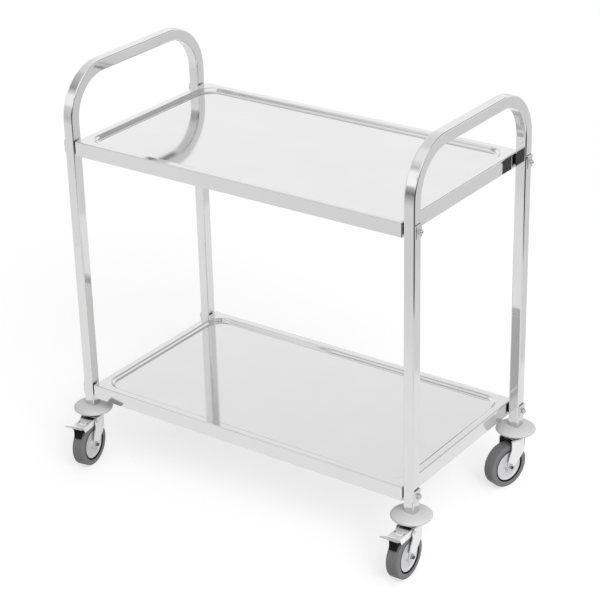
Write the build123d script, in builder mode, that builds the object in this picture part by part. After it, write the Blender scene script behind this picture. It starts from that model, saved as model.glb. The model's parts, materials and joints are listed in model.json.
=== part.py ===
from build123d import *
import os

# Two-tier serving trolley: two bent-tube end frames carry two pressed trays, on four swivel casters.
# Millimetres. X runs along the trays, Y from the front to the back, Z up.
# The origin is on the floor, midway between the four legs.

# End frames
frame_length = 884.0
frame_width = 458.0
overall_height = 936.0
tube_side = 25.0
tube_wall = 1.2
tube_corner = 3.0
bend_radius = 102.0

# Trays
upper_tray_top = 783.0
lower_tray_rise = 65.0
tray_sheet = 1.0
tray_apron = 32.0
tray_corner = 3.0
tray_edge = 2.5
tray_hem = 9.0
pan_rim = 18.0
pan_depth = 8.0
pan_slope = 38.0
pan_corner = 40.0
pan_edge = 5.0
pan_floor_radius = 7.0

# Tray joints
bolt_diameter = 6.0
bolt_play = 0.6
bolt_head_diameter = 11.0
bolt_head_height = 4.0
bolt_head_edge = 1.5
bolt_reach_in_nut = 5.6
thread_play = 0.05
pad_thickness = 3.0
pad_width = 14.0
pad_height = 20.0
plate_pad_thickness = 1.0
plate_pad_inset = 1.5
plate_thickness = 2.5
plate_width = 21.0
plate_height = 28.0
plate_edge = 0.8
nut_flats = 10.0
nut_height = 4.0
nut_neck = 0.6
nut_dome_radius = 4.2
nut_bore_depth = 6.6

# Bumpers
bumper_diameter = 89.0
bumper_thickness = 22.0
bumper_socket_depth = 11.0
bumper_socket_play = 0.3
bumper_socket_edge = 0.6

# Caster stems and leg plugs
stem_diameter = 12.0
stem_length_above = 34.0
stem_edge = 1.5
stem_flange_diameter = 36.0
stem_flange = 2.5
plug_height = 40.0
plug_play = 0.1
plug_edge = 1.0
swivel_play = 0.05
swivel_nut_flats = 19.0
swivel_nut_height = 5.0
race_diameter = 48.0
race_thickness = 2.5
race_play = 0.4
race_edge = 0.8
seal_bore = 24.0
seal_wall = 6.0
seal_height = 8.0

# Wheels
wheel_diameter = 102.0
wheel_width = 29.0
wheel_trail = 30.0
tyre_depth = 16.5
tyre_groove = 3.5
tyre_groove_depth = 7.0
tyre_rim_round = 2.0
tyre_shoulder = 8.0
tyre_seat_play = 0.05
core_inset = 2.0
core_lip = 2.2
core_dish = 1.8
core_hub_diameter = 19.0
core_round = 0.6
axle_diameter = 8.0
axle_play = 0.1
axle_head_flats = 13.0
axle_head_height = 5.0
axle_nut_height = 5.0
axle_tail = 1.5
axle_socket_diameter = 4.4
axle_socket_depth = 4.0
sleeve_diameter = 12.0
sleeve_play = 0.05

# Forks
fork_sheet = 2.5
fork_gap = 1.0
fork_flare = 3.5
fork_bend = 4.0
fork_flare_low_drop = 43.0
fork_flare_high_drop = 19.0
fork_flare_round = 8.0
fork_heel_depth = 13.0
fork_end_radius = 9.0
fork_end_sweep = 135.0
fork_front = 29.5
fork_nose_bow = 1.5
fork_belly_back = 6.5
fork_belly_drop = 42.0
crown_front = 20.5
crown_gap = 10.5
braked_nose_drop = 8.0

# Brakes
brake_pin_diameter = 5.0
brake_pin_reach = 23.0
brake_pin_drop = 8.5
brake_pin_play = 0.05
brake_pin_head_diameter = 8.0
brake_pin_head = 1.0
pedal_sheet = 1.8
pedal_side_gap = 2.0
pedal_bend = 3.0
pedal_travel_angle = 5.0
pedal_rise = 5.0
pedal_ear = 5.5
pedal_plate_back = 3.0
pedal_mouth = 7.0
pedal_plate_setback = 2.0
pedal_flange_slant = 5.0
pedal_flange_back = 9.0
pedal_flange_drop = 7.5
pedal_lip_length = 22.0
pedal_lip_tilt = 25.0
pedal_lip_spread = 4.5
pedal_lip_corner = 4.0
pedal_boss_side = 15.0
pedal_boss_height = 0.8
pedal_boss_slope = 30.0
pedal_slot_length = 7.0
pedal_slot_width = 2.0
pedal_slot_gap = 2.0
shoe_overhang = 1.0
shoe_length = 25.0
shoe_side_gap = 6.2
shoe_tyre_gap = 0.5
shoe_rib_count = 4
shoe_rib_spaces = 5
shoe_rib_width = 2.4
shoe_rib_depth = 1.5

# Turn of each caster about its stem; the wheels trail towards the front
front_left_turn_angle = 9.5
front_right_turn_angle = 1.5
rear_left_turn_angle = 4.0
rear_right_turn_angle = -17.0

# Heights from the floor up
wheel_radius = wheel_diameter / 2
crown_under = wheel_diameter + crown_gap
crown_top = crown_under + fork_sheet
race_top = crown_top + race_thickness
bumper_bottom = race_top + stem_flange
bumper_middle = bumper_bottom + bumper_thickness / 2
leg_bottom = bumper_bottom + bumper_thickness - bumper_socket_depth
lower_tray_top = leg_bottom + lower_tray_rise

# Shared widths and places
leg_x = (frame_length - tube_side) / 2
leg_y = (frame_width - tube_side) / 2
handle_axis = overall_height - tube_side / 2
tray_length = frame_length - 2 * tube_side - 2 * pad_thickness
tray_width = frame_width
bolt_height = tray_apron / 2
bolt_hole = bolt_diameter + bolt_play
stem_radius = stem_diameter / 2
fork_foot = wheel_width / 2 + fork_gap + fork_sheet
fork_crown = fork_foot + fork_flare
fork_flare_low = crown_top - fork_flare_low_drop
fork_flare_high = crown_top - fork_flare_high_drop
fork_belly_height = crown_top - fork_belly_drop
axle_y = -wheel_trail
brake_pin_y = -brake_pin_reach
brake_pin_height = crown_top - brake_pin_drop
pedal_half = fork_crown - fork_sheet - pedal_side_gap
pedal_plate_length = wheel_radius - pedal_plate_setback
shoe_front = wheel_radius + shoe_overhang
shoe_back = shoe_front - shoe_length

os.makedirs("parts", exist_ok=True)


def write(piece, name):
    piece.part.label = name
    export_step(piece.part, f"parts/{name}.step")


# End frame, one bent tube, with a bolt hole through each leg at each tray
with BuildPart() as end_frame:
    with BuildLine(Plane.YZ) as tube_path:
        FilletPolyline(
            (-leg_y, leg_bottom),
            (-leg_y, handle_axis),
            (leg_y, handle_axis),
            (leg_y, leg_bottom),
            radius=bend_radius,
        )
    with BuildSketch(Plane((0, -leg_y, leg_bottom))) as tube_section:
        RectangleRounded(tube_side, tube_side, tube_corner)
        offset(amount=-tube_wall, mode=Mode.SUBTRACT)
    sweep(sections=tube_section.sketch, path=tube_path.line)
    for tray_top in (upper_tray_top, lower_tray_top):
        for side in (-1, 1):
            with Locations(Location((0, side * leg_y, tray_top - bolt_height), (0, 90, 0))):
                Hole(bolt_hole / 2)

# Tray, its rim top at zero height: apron and hem first, then the sunk pan
with BuildPart() as tray:
    with BuildSketch() as tray_outline:
        RectangleRounded(tray_length, tray_width, tray_corner)
    extrude(amount=-tray_apron)
    fillet(tray.edges().group_by(Axis.Z)[-1], tray_edge)
    with BuildSketch(Plane.XY.offset(-tray_sheet)) as tray_inside:
        RectangleRounded(tray_length - 2 * tray_sheet, tray_width - 2 * tray_sheet, tray_corner - tray_sheet)
    extrude(amount=-(tray_apron - 2 * tray_sheet), mode=Mode.SUBTRACT)
    fillet(
        tray.edges(Select.LAST).group_by(Axis.Z)[-1],
        tray_edge - tray_sheet,
    )
    with BuildSketch(Plane.XY.offset(-tray_apron)) as tray_mouth:
        Rectangle(tray_length - 2 * (tray_sheet + tray_hem), tray_width - 2 * (tray_sheet + tray_hem))
    extrude(amount=tray_sheet, mode=Mode.SUBTRACT)
    with BuildSketch(Plane.XY.offset(-tray_sheet)) as pan_outside:
        RectangleRounded(
            tray_length - 2 * (pan_rim - tray_sheet),
            tray_width - 2 * (pan_rim - tray_sheet),
            pan_corner + tray_sheet,
        )
    extrude(amount=-pan_depth, taper=pan_slope)
    with BuildSketch(Plane.XY) as pan_inside:
        RectangleRounded(tray_length - 2 * pan_rim, tray_width - 2 * pan_rim, pan_corner)
    extrude(amount=-pan_depth, taper=pan_slope, mode=Mode.SUBTRACT)
    pan_floor = tray.faces().filter_by(Axis.Z).sort_by_distance((0, 0, -pan_depth))[0]
    fillet(pan_floor.edges(), pan_floor_radius)
    pan_under = tray.faces().filter_by(Axis.Z).sort_by_distance((0, 0, -pan_depth - tray_sheet))[0]
    fillet(pan_under.edges(), pan_floor_radius + tray_sheet)
    rim = tray.faces().filter_by(Axis.Z).sort_by(Axis.Z)[-1]
    fillet(rim.inner_wires()[0].edges(), pan_edge)
    for end in (-1, 1):
        for side in (-1, 1):
            with Locations(Location((end * tray_length / 2, side * leg_y, -bolt_height), (0, 90, 0))):
                Hole(bolt_hole / 2, depth=tray_hem)

# Pieces of one tray joint, drawn with X pointing out of the leg's outer face, the bolt on the X axis
plate_pad_width = plate_width - 2 * plate_pad_inset
nut_seat = plate_pad_thickness + plate_thickness
with BuildPart() as leg_plate:
    with BuildSketch(Plane.YZ) as plate_outline:
        RectangleRounded(plate_width, plate_height, plate_edge)
    extrude(amount=nut_seat)
    chamfer(leg_plate.edges().group_by(Axis.X)[-1], plate_edge)
    with BuildSketch(Plane.YZ) as plate_channel:
        Rectangle(plate_pad_width, plate_height)
    extrude(amount=plate_pad_thickness, mode=Mode.SUBTRACT)
    with Locations(Location((0, 0, 0), (0, 90, 0))):
        Hole(bolt_hole / 2)

with BuildPart() as tray_pad:
    with BuildSketch(Plane.YZ.offset(-tube_side - pad_thickness)) as pad_outline:
        Rectangle(pad_width, pad_height)
        Circle(bolt_hole / 2, mode=Mode.SUBTRACT)
    extrude(amount=pad_thickness)
    with BuildSketch(Plane.YZ) as plate_pad_outline:
        Rectangle(plate_pad_width, plate_height)
        Circle(bolt_hole / 2, mode=Mode.SUBTRACT)
    extrude(amount=plate_pad_thickness)

with BuildPart() as dome_nut:
    with BuildSketch(Plane.YZ.offset(nut_seat)) as nut_hexagon:
        RegularPolygon(nut_flats / 2, 6, major_radius=False)
    extrude(amount=nut_height)
    with BuildSketch(Plane.YZ.offset(nut_seat + nut_height)) as nut_neck_outline:
        Circle(nut_dome_radius)
    extrude(amount=nut_neck)
    with Locations((nut_seat + nut_height + nut_neck, 0, 0)):
        Sphere(nut_dome_radius)
    with BuildSketch(Plane.YZ.offset(nut_seat)) as nut_bore:
        Circle(bolt_diameter / 2 + thread_play)
    extrude(amount=nut_bore_depth, mode=Mode.SUBTRACT)

with BuildPart() as tray_bolt:
    with BuildSketch(Plane.YZ.offset(-tube_side - pad_thickness - tray_sheet)) as bolt_shank:
        Circle(bolt_diameter / 2)
    extrude(amount=tray_sheet + pad_thickness + tube_side + nut_seat + bolt_reach_in_nut)
    with BuildSketch(Plane.YZ.offset(-tube_side - pad_thickness - tray_sheet)) as bolt_head:
        Circle(bolt_head_diameter / 2)
    extrude(amount=-bolt_head_height)
    fillet(tray_bolt.edges().group_by(Axis.X)[0], bolt_head_edge)

joint_places = []
for tray_top in (upper_tray_top, lower_tray_top):
    for end, turn in ((-1, 180), (1, 0)):
        for side in (-1, 1):
            place = Location((end * frame_length / 2, side * leg_y, tray_top - bolt_height), (0, 0, turn))
            joint_places.append(place)

# Pieces of one leg foot, drawn about the stem axis
with BuildPart() as plug:
    with BuildSketch(Plane.XY.offset(leg_bottom)) as plug_outline:
        plug_side = tube_side - 2 * tube_wall - 2 * plug_play
        RectangleRounded(plug_side, plug_side, tube_corner - tube_wall)
    extrude(amount=plug_height)
    chamfer(plug.edges().group_by(Axis.Z)[-1], plug_edge)
    with Locations((0, 0, leg_bottom)):
        Hole(stem_radius + thread_play)

with BuildPart() as bumper:
    with BuildSketch(Plane.XZ) as bumper_section:
        with Locations((0, bumper_middle)):
            Ellipse(bumper_diameter / 2, bumper_thickness / 2)
        with Locations((-bumper_diameter / 2, bumper_middle)):
            Rectangle(bumper_diameter, bumper_thickness, mode=Mode.SUBTRACT)
    revolve(axis=Axis.Z)
    with BuildSketch(Plane.XY.offset(leg_bottom)) as bumper_socket:
        socket_side = tube_side + 2 * bumper_socket_play
        RectangleRounded(socket_side, socket_side, tube_corner + bumper_socket_play)
    extrude(amount=bumper_thickness, mode=Mode.SUBTRACT)
    with BuildSketch(Plane.XY.offset(bumper_bottom + bumper_thickness)) as socket_mouth:
        mouth_side = socket_side + 2 * bumper_socket_edge
        RectangleRounded(mouth_side, mouth_side, tube_corner + bumper_socket_play + bumper_socket_edge)
    extrude(amount=-bumper_socket_edge, taper=45, mode=Mode.SUBTRACT)
    with BuildSketch(Plane.XY.offset(bumper_bottom)) as bumper_seat:
        Circle(stem_flange_diameter / 2)
    extrude(amount=bumper_thickness - bumper_socket_depth)
    with Locations((0, 0, bumper_bottom)):
        Hole(stem_radius + thread_play)

with BuildPart() as stem:
    with BuildSketch(Plane.XY.offset(crown_under - swivel_nut_height)) as stem_outline:
        Circle(stem_radius)
    extrude(amount=leg_bottom + stem_length_above - crown_under + swivel_nut_height)
    chamfer(stem.edges().group_by(Axis.Z)[-1], stem_edge)
    with BuildSketch(Plane.XY.offset(race_top)) as flange_outline:
        Circle(stem_flange_diameter / 2)
    extrude(amount=stem_flange)

with BuildPart() as swivel_nut:
    with BuildSketch(Plane.XY.offset(crown_under)) as swivel_nut_outline:
        RegularPolygon(swivel_nut_flats / 2, 6, major_radius=False)
        Circle(stem_radius + thread_play, mode=Mode.SUBTRACT)
    extrude(amount=-swivel_nut_height)

with BuildPart() as swivel_race:
    with BuildSketch(Plane.XY.offset(crown_top)) as race_outline:
        Circle(race_diameter / 2)
        Circle(stem_radius + race_play, mode=Mode.SUBTRACT)
    extrude(amount=race_thickness)
    chamfer(swivel_race.edges().filter_by(GeomType.CIRCLE).sort_by(SortBy.RADIUS)[-2:], race_edge)
    with BuildSketch(Plane.XY.offset(crown_under)) as seal_outline:
        Circle(seal_bore / 2 + seal_wall)
        Circle(seal_bore / 2, mode=Mode.SUBTRACT)
    extrude(amount=-seal_height)

# Wheel, drawn about its axle: the sketch plane holds the axle direction and the radius
axle_plane = Plane((0, axle_y, wheel_radius), x_dir=(1, 0, 0), z_dir=(0, -1, 0))
axle_line = Axis((0, axle_y, wheel_radius), (1, 0, 0))
wheel_half = wheel_width / 2
seat_radius = wheel_radius - tyre_depth
groove_radius = seat_radius + tyre_groove
bead_half = wheel_half - tyre_groove_depth

with BuildPart() as tyre:
    with BuildSketch(axle_plane) as tyre_section:
        with BuildLine():
            right_side = Polyline(
                (0, seat_radius),
                (bead_half, seat_radius),
                (bead_half, groove_radius),
                (wheel_half, groove_radius),
                (wheel_half, wheel_radius),
                (0, wheel_radius),
            )
            mirror(right_side, about=Plane.YZ)
        make_face()
        side_corners = tyre_section.vertices().filter_by(lambda corner: abs(corner.X) > bead_half)
        fillet(side_corners.group_by(Axis.Y)[-1], tyre_shoulder)
        fillet(tyre_section.vertices().filter_by(lambda corner: abs(corner.X) > bead_half).group_by(Axis.Y)[0],
               tyre_rim_round)
    revolve(axis=axle_line)

with BuildPart() as wheel_core:
    with BuildSketch(axle_plane) as core_section:
        core_radius = seat_radius - tyre_seat_play
        lip_half = wheel_half - core_inset
        dish_half = lip_half - core_dish
        hub_half = wheel_half + fork_gap / 2
        hub_radius = core_hub_diameter / 2
        with BuildLine():
            right_side = Polyline(
                (0, core_radius),
                (lip_half, core_radius),
                (lip_half, core_radius - core_lip),
                (dish_half, core_radius - core_lip - core_dish),
                (dish_half, hub_radius + core_dish),
                (hub_half, hub_radius),
                (hub_half, sleeve_diameter / 2 + sleeve_play),
                (0, sleeve_diameter / 2 + sleeve_play),
            )
            mirror(right_side, about=Plane.YZ)
        make_face()
        fillet(core_section.vertices().filter_by(lambda corner: abs(corner.X) > dish_half), core_round)
    revolve(axis=axle_line)

with BuildPart() as axle_sleeve:
    with BuildSketch(Plane.YZ) as sleeve_outline:
        with Locations((axle_y, wheel_radius)):
            Circle(sleeve_diameter / 2)
            Circle((axle_diameter + axle_play) / 2, mode=Mode.SUBTRACT)
    extrude(amount=fork_foot - fork_sheet, both=True)

with BuildPart() as axle_bolt:
    with BuildSketch(Plane.YZ.offset(-fork_foot)) as axle_outline:
        with Locations((axle_y, wheel_radius)):
            Circle(axle_diameter / 2)
    extrude(amount=2 * fork_foot + axle_nut_height + axle_tail)
    with BuildSketch(Plane.YZ.offset(-fork_foot)) as axle_head:
        with Locations((axle_y, wheel_radius)):
            RegularPolygon(axle_head_flats / 2, 6, major_radius=False)
    extrude(amount=-axle_head_height)
    with BuildSketch(Plane.YZ.offset(fork_foot + axle_nut_height + axle_tail)) as axle_socket:
        with Locations((axle_y, wheel_radius)):
            Circle(axle_socket_diameter / 2)
    extrude(amount=-axle_socket_depth, mode=Mode.SUBTRACT)

with BuildPart() as axle_nut:
    with BuildSketch(Plane.YZ.offset(fork_foot)) as axle_nut_outline:
        with Locations((axle_y, wheel_radius)):
            RegularPolygon(axle_head_flats / 2, 6, major_radius=False)
            Circle(axle_diameter / 2 + thread_play, mode=Mode.SUBTRACT)
    extrude(amount=axle_nut_height)


# Fork: a pressed yoke, its sides flared above the wheel and joined round the back under a flat crown
def fork_block(foot_half, crown_half, top, bend):
    with BuildPart() as block:
        with BuildSketch() as plan:
            Circle(crown_half)
            with Locations((0, -wheel_diameter / 2)):
                Rectangle(2 * crown_half, wheel_diameter)
        extrude(amount=top)
        fillet(block.edges().group_by(Axis.Z)[-1], bend)
        with BuildSketch(Plane.XZ) as flare:
            with BuildLine():
                right_side = Polyline(
                    (0, 0),
                    (foot_half, 0),
                    (foot_half, fork_flare_low),
                    (crown_half, fork_flare_high),
                    (crown_half, top),
                    (0, top),
                )
                mirror(right_side, about=Plane.YZ)
            make_face()
            fillet(flare.vertices().filter_by_position(Axis.Y, fork_flare_low, fork_flare_high), fork_flare_round)
        extrude(amount=2 * wheel_diameter, both=True, mode=Mode.INTERSECT)
    return block


def make_fork(braked):
    outside = fork_block(fork_foot, fork_crown, crown_top, fork_bend)
    inside = fork_block(fork_foot - fork_sheet, fork_crown - fork_sheet, crown_under, fork_bend - fork_sheet)
    nose_top = crown_top - braked_nose_drop if braked else crown_top
    with BuildPart() as fork:
        add(outside.part)
        add(inside.part, mode=Mode.SUBTRACT)
        with BuildSketch(Plane.YZ) as side_outline:
            with BuildLine():
                top = Line((fork_crown, crown_top), (-crown_front, crown_top))
                brow = Line(top @ 1, (-fork_front, nose_top))
                nose = ThreePointArc(
                    brow @ 1,
                    (-fork_front - fork_nose_bow, (wheel_radius + crown_top) / 2),
                    (axle_y - fork_end_radius, wheel_radius),
                )
                foot = CenterArc((axle_y, wheel_radius), fork_end_radius, 180, fork_end_sweep)
                belly = ThreePointArc(
                    foot @ 1,
                    (fork_belly_back, fork_belly_height),
                    (fork_crown, crown_top - fork_heel_depth),
                )
                Line(belly @ 1, top @ 0)
            make_face()
        extrude(amount=2 * fork_crown, both=True, mode=Mode.INTERSECT)
        with BuildSketch(Plane.XY.offset(crown_top)) as crown_notch:
            with Locations((0, -crown_front - wheel_diameter / 2)):
                Rectangle(2 * (fork_crown - fork_bend), wheel_diameter)
        extrude(amount=-fork_sheet, mode=Mode.SUBTRACT)
        with Locations((0, 0, crown_top)):
            Hole(stem_radius + swivel_play)
        with Locations(Location((0, axle_y, wheel_radius), (0, 90, 0))):
            Hole((axle_diameter + axle_play) / 2)
        if braked:
            with Locations(Location((0, brake_pin_y, brake_pin_height), (0, 90, 0))):
                Hole(brake_pin_diameter / 2 + thread_play)
    return fork


plain_fork = make_fork(braked=False)
braked_fork = make_fork(braked=True)

# Brake pin with a rivet head outside each side of the fork
with BuildPart() as brake_pin:
    with BuildSketch(Plane.YZ) as pin_outline:
        with Locations((brake_pin_y, brake_pin_height)):
            Circle(brake_pin_diameter / 2)
    extrude(amount=fork_crown, both=True)
    for side in (-1, 1):
        with BuildSketch(Plane.YZ.offset(side * fork_crown)) as pin_head:
            with Locations((brake_pin_y, brake_pin_height)):
                Circle(brake_pin_head_diameter / 2)
        extrude(amount=side * brake_pin_head)

# Brake pedal and shoe, drawn with the pin on the X axis; the pedal points along minus Y
with BuildPart() as pedal_lip:
    with BuildSketch(Plane((0, -pedal_plate_length, pedal_rise), x_dir=(1, 0, 0), z_dir=(0, 0, 1))) as lip_plan:
        with BuildLine():
            lip_side = pedal_half - pedal_bend
            Polyline(
                (-lip_side, pedal_lip_spread),
                (-lip_side, 0),
                (-pedal_half - pedal_lip_spread, -2 * pedal_lip_spread),
                (-pedal_half - pedal_lip_spread, -pedal_lip_length),
                (pedal_half + pedal_lip_spread, -pedal_lip_length),
                (pedal_half + pedal_lip_spread, -2 * pedal_lip_spread),
                (lip_side, 0),
                (lip_side, pedal_lip_spread),
                close=True,
            )
        make_face()
        fillet(lip_plan.vertices().group_by(Axis.Y)[0], pedal_lip_corner)
    extrude(amount=wheel_diameter, both=True)
    with BuildSketch(Plane.YZ) as lip_section:
        with BuildLine():
            lip_line = Polyline(
                (-pedal_plate_length + pedal_lip_spread, pedal_rise - pedal_sheet / 2),
                (-pedal_plate_length, pedal_rise - pedal_sheet / 2),
                Vector(-pedal_plate_length, pedal_rise - pedal_sheet / 2)
                + Vector(-pedal_lip_length, 0).rotate(Axis.Z, -pedal_lip_tilt),
            )
        trace(line_width=pedal_sheet)
    extrude(amount=wheel_diameter, both=True, mode=Mode.INTERSECT)

with BuildPart() as brake_pedal:
    with BuildSketch(Plane.XZ) as channel:
        with Locations((0, pedal_rise - wheel_diameter / 2)):
            Rectangle(2 * pedal_half, wheel_diameter)
        fillet(channel.vertices().group_by(Axis.Y)[-1], pedal_bend)
        offset(amount=-pedal_sheet, mode=Mode.SUBTRACT)
    extrude(amount=wheel_diameter, both=True)
    with BuildSketch(Plane.YZ) as pedal_side:
        with BuildLine():
            flange = Polyline(
                (-pedal_flange_back, -pedal_flange_drop),
                (pedal_flange_slant - pedal_plate_length, -pedal_flange_drop),
                (-pedal_plate_length, pedal_rise - pedal_sheet),
                (-pedal_plate_length, pedal_rise),
                (-pedal_plate_back, pedal_rise),
            )
            ear = ThreePointArc(flange @ 1, (pedal_ear, 0), (0, -pedal_ear))
            Line(ear @ 1, flange @ 0)
        make_face()
    extrude(amount=wheel_diameter, both=True, mode=Mode.INTERSECT)
    add(pedal_lip.part)
    with BuildSketch(Plane.XY.offset(pedal_rise)) as pedal_boss:
        with Locations((0, -pedal_plate_length / 2)):
            Rectangle(pedal_boss_side, pedal_boss_side)
    extrude(amount=pedal_boss_height, taper=pedal_boss_slope)
    with BuildSketch(Plane.XY.offset(pedal_rise)) as pedal_slots:
        with Locations((0, -pedal_plate_length / 2)):
            with GridLocations(pedal_boss_side + 2 * pedal_slot_gap + pedal_slot_width, 0, 2, 1):
                SlotOverall(pedal_slot_length, pedal_slot_width, rotation=90)
    extrude(amount=-pedal_sheet, mode=Mode.SUBTRACT)
    with BuildSketch(Plane.XY.offset(pedal_rise)) as mouth_outline:
        with Locations((0, wheel_radius - pedal_mouth)):
            Rectangle(2 * (pedal_half - pedal_bend), wheel_diameter)
    extrude(amount=-pedal_sheet, mode=Mode.SUBTRACT)
    with Locations(Location((0, 0, 0), (0, 90, 0))):
        Hole(brake_pin_diameter / 2 + brake_pin_play)

pedal_place = Location((0, brake_pin_y, brake_pin_height))
axle_from_pin = Vector(0, axle_y - brake_pin_y, wheel_radius - brake_pin_height)
tyre_when_braked = axle_from_pin.rotate(Axis.X, -pedal_travel_angle)

with BuildPart() as brake_shoe:
    with BuildSketch(Plane.YZ) as shoe_side:
        shoe_top = pedal_rise - pedal_sheet
        with Locations((-(shoe_back + shoe_front) / 2, shoe_top - wheel_radius / 2)):
            Rectangle(shoe_front - shoe_back, wheel_radius)
        with Locations((tyre_when_braked.Y, tyre_when_braked.Z)):
            Circle(wheel_radius + shoe_tyre_gap, mode=Mode.SUBTRACT)
        front_edge = shoe_side.edges().filter_by(Axis.Y).sort_by(Axis.X)[0]
        with Locations(front_edge.center()):
            with GridLocations(0, front_edge.length / shoe_rib_spaces, 1, shoe_rib_count):
                Rectangle(2 * shoe_rib_depth, shoe_rib_width, mode=Mode.SUBTRACT)
    extrude(amount=pedal_half - pedal_sheet - shoe_side_gap, both=True)

# The finished pieces, each put in its place
for name, side in (("left", -1), ("right", 1)):
    with BuildPart() as placed:
        with Locations((side * leg_x, 0, 0)):
            add(end_frame.part)
    write(placed, f"end_frame_{name}")

for name, tray_top in (("upper", upper_tray_top), ("lower", lower_tray_top)):
    with BuildPart() as placed:
        with Locations((0, 0, tray_top)):
            add(tray.part)
    write(placed, f"{name}_tray")

for name, piece in (
    ("tray_bolts", tray_bolt),
    ("tray_pads", tray_pad),
    ("leg_plates", leg_plate),
    ("dome_nuts", dome_nut),
):
    with BuildPart() as placed:
        with Locations(*joint_places):
            add(piece.part)
    write(placed, name)

with BuildPart() as placed:
    with GridLocations(2 * leg_x, 2 * leg_y, 2, 2):
        add(swivel_nut.part)
write(placed, "swivel_nuts")

corners = (
    ("front_left", -1, -1, front_left_turn_angle),
    ("front_right", 1, -1, front_right_turn_angle),
    ("rear_left", -1, 1, rear_left_turn_angle),
    ("rear_right", 1, 1, rear_right_turn_angle),
)

for corner, x_side, y_side, turn in corners:
    foot = Location((x_side * leg_x, y_side * leg_y, 0))
    caster = Location((x_side * leg_x, y_side * leg_y, 0), (0, 0, turn))
    braked = y_side < 0
    pieces = [
        ("plug", plug, foot),
        ("bumper", bumper, foot),
        ("stem", stem, foot),
        ("swivel_race", swivel_race, caster),
        ("fork", braked_fork if braked else plain_fork, caster),
        ("axle_bolt", axle_bolt, caster),
        ("axle_nut", axle_nut, caster),
        ("axle_sleeve", axle_sleeve, caster),
        ("wheel_core", wheel_core, caster),
        ("tyre", tyre, caster),
    ]
    if braked:
        pieces.append(("brake_pin", brake_pin, caster))
        pieces.append(("brake_pedal", brake_pedal, caster * pedal_place))
        pieces.append(("brake_shoe", brake_shoe, caster * pedal_place))
    for piece_name, piece, place in pieces:
        with BuildPart() as placed:
            with Locations(place):
                add(piece.part)
        write(placed, f"{corner}_{piece_name}")
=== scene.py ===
import json
import math

import bmesh
import bpy
from bpy.props import FloatProperty, FloatVectorProperty, PointerProperty
from mathutils import Matrix, Vector


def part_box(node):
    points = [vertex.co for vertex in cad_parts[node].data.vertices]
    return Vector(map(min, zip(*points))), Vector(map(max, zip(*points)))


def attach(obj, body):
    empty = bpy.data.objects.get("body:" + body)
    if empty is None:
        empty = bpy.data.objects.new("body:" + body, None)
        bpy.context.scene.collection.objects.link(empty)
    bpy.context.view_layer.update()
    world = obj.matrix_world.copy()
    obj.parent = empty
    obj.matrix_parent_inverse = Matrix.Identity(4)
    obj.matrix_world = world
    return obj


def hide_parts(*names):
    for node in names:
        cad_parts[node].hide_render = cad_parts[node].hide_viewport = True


bl_info = {
    "name": "Serving Trolley",
    "version": (1, 0, 0),
    "blender": (4, 5, 0),
    "location": "View3D > Sidebar > Trolley",
    "description": "Dresses a two-tier stainless serving trolley on swivel casters",
    "category": "Object",
}

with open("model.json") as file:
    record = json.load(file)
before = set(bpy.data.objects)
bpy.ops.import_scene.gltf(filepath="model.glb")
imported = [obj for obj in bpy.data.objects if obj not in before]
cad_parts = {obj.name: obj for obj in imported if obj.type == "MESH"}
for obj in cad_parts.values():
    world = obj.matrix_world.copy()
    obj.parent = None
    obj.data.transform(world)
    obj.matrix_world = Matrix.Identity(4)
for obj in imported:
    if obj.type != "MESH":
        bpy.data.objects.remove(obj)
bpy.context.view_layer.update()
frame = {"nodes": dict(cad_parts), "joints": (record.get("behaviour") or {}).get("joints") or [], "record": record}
CORNERS = ("front_left", "front_right", "rear_left", "rear_right")
BRAKED = ("front_left", "front_right")
WHITE = (1.0, 1.0, 1.0)

# Fineness of the meshes, and how near counts as the same
ROUND_STEPS = 192
WIRE_STEPS = 12
FLOOR_STEPS = 96
EDGE_SEGMENTS = 3
BEAD_SEGMENTS = 2
TAB_SEGMENTS = 4
TAB_ROUND = 0.96
SMOOTH_ANGLE = math.radians(35)
FACING = 0.9
CLOSE = 0.00005
MERGED = 0.000005

# Room between a tab's foot and the pedal plate; the tabs are black pieces that paint shade into the pedal's slots
TAB_PLAY = 0.00005

# Grain of the steels, pitting of the plastics and the cloudiness of both
ALL_ROUND = (1, 1, 1)
ALONG_LEGS = (30, 30, 0.6)
ALONG_TRAYS = (0.6, 30, 30)
BRIGHT_GRAIN = (8, 8, 8)
ZINC_GRAIN = (6, 6, 6)
ZINC_ROUGH = (0.24, 0.38)
ZINC_METAL = 0.55
GRAIN_SCALE = 60.0
GRAIN_DETAIL = 4.0
GRAIN_DEPTH = 0.0002
SKIN_DETAIL = 3.0
SKIN_DEPTH = 0.0003
STEEL_CLOUDS = 9.0
MOULD_CLOUDS = 14.0
CLOUD_DETAIL = 2.0
CLOUD_ENDS = (0.3, 0.7)
# How softly a pedal's lip passes into its painted dark reflection
LIP_BLEND = 0.0015

# Where a fork's legs flare and its crown ends, down from its top, which bound the painted shade inside the forks
FLARE_FOOT = 0.043
FLARE_HEAD = 0.019
CROWN_UNDER = 0.00225

# Floor, with the sides to which its mirrored glow falls off, from where to where
FLOOR_RADIUS = 1.7
FLOOR_COLOUR = (0.45, 0.45, 0.45)
FLOOR_ROUGH = 0.9
FLOOR_GLOW = 0.62
FLOOR_DROP = 0.17
FLOOR_FALLS = (((0.71, 0.71, 0), 1.00, 1.06), ((0.35, -0.94, 0), 0.80, 1.25))

# Dark card behind the trolley
CARD_PLACE = (-1.05, 1.2, 0.40)
CARD_SIZE = (1.3, 0.7, 1.0)
CARD_COLOUR = (0.02, 0.02, 0.02)
CARD_MIDDLE = 0.5
CARD_FADE = 0.2
CARD_DEPTH = 0.65

# Lamp and camera
LAMP_PLACE = (10.0, -6.6, 10.0)
LAMP_AIM = (0, 0, 0.4)
LAMP_SIZE = 8.0
SENSOR_WIDTH = 36
VIEW_DEPTH = 100

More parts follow.
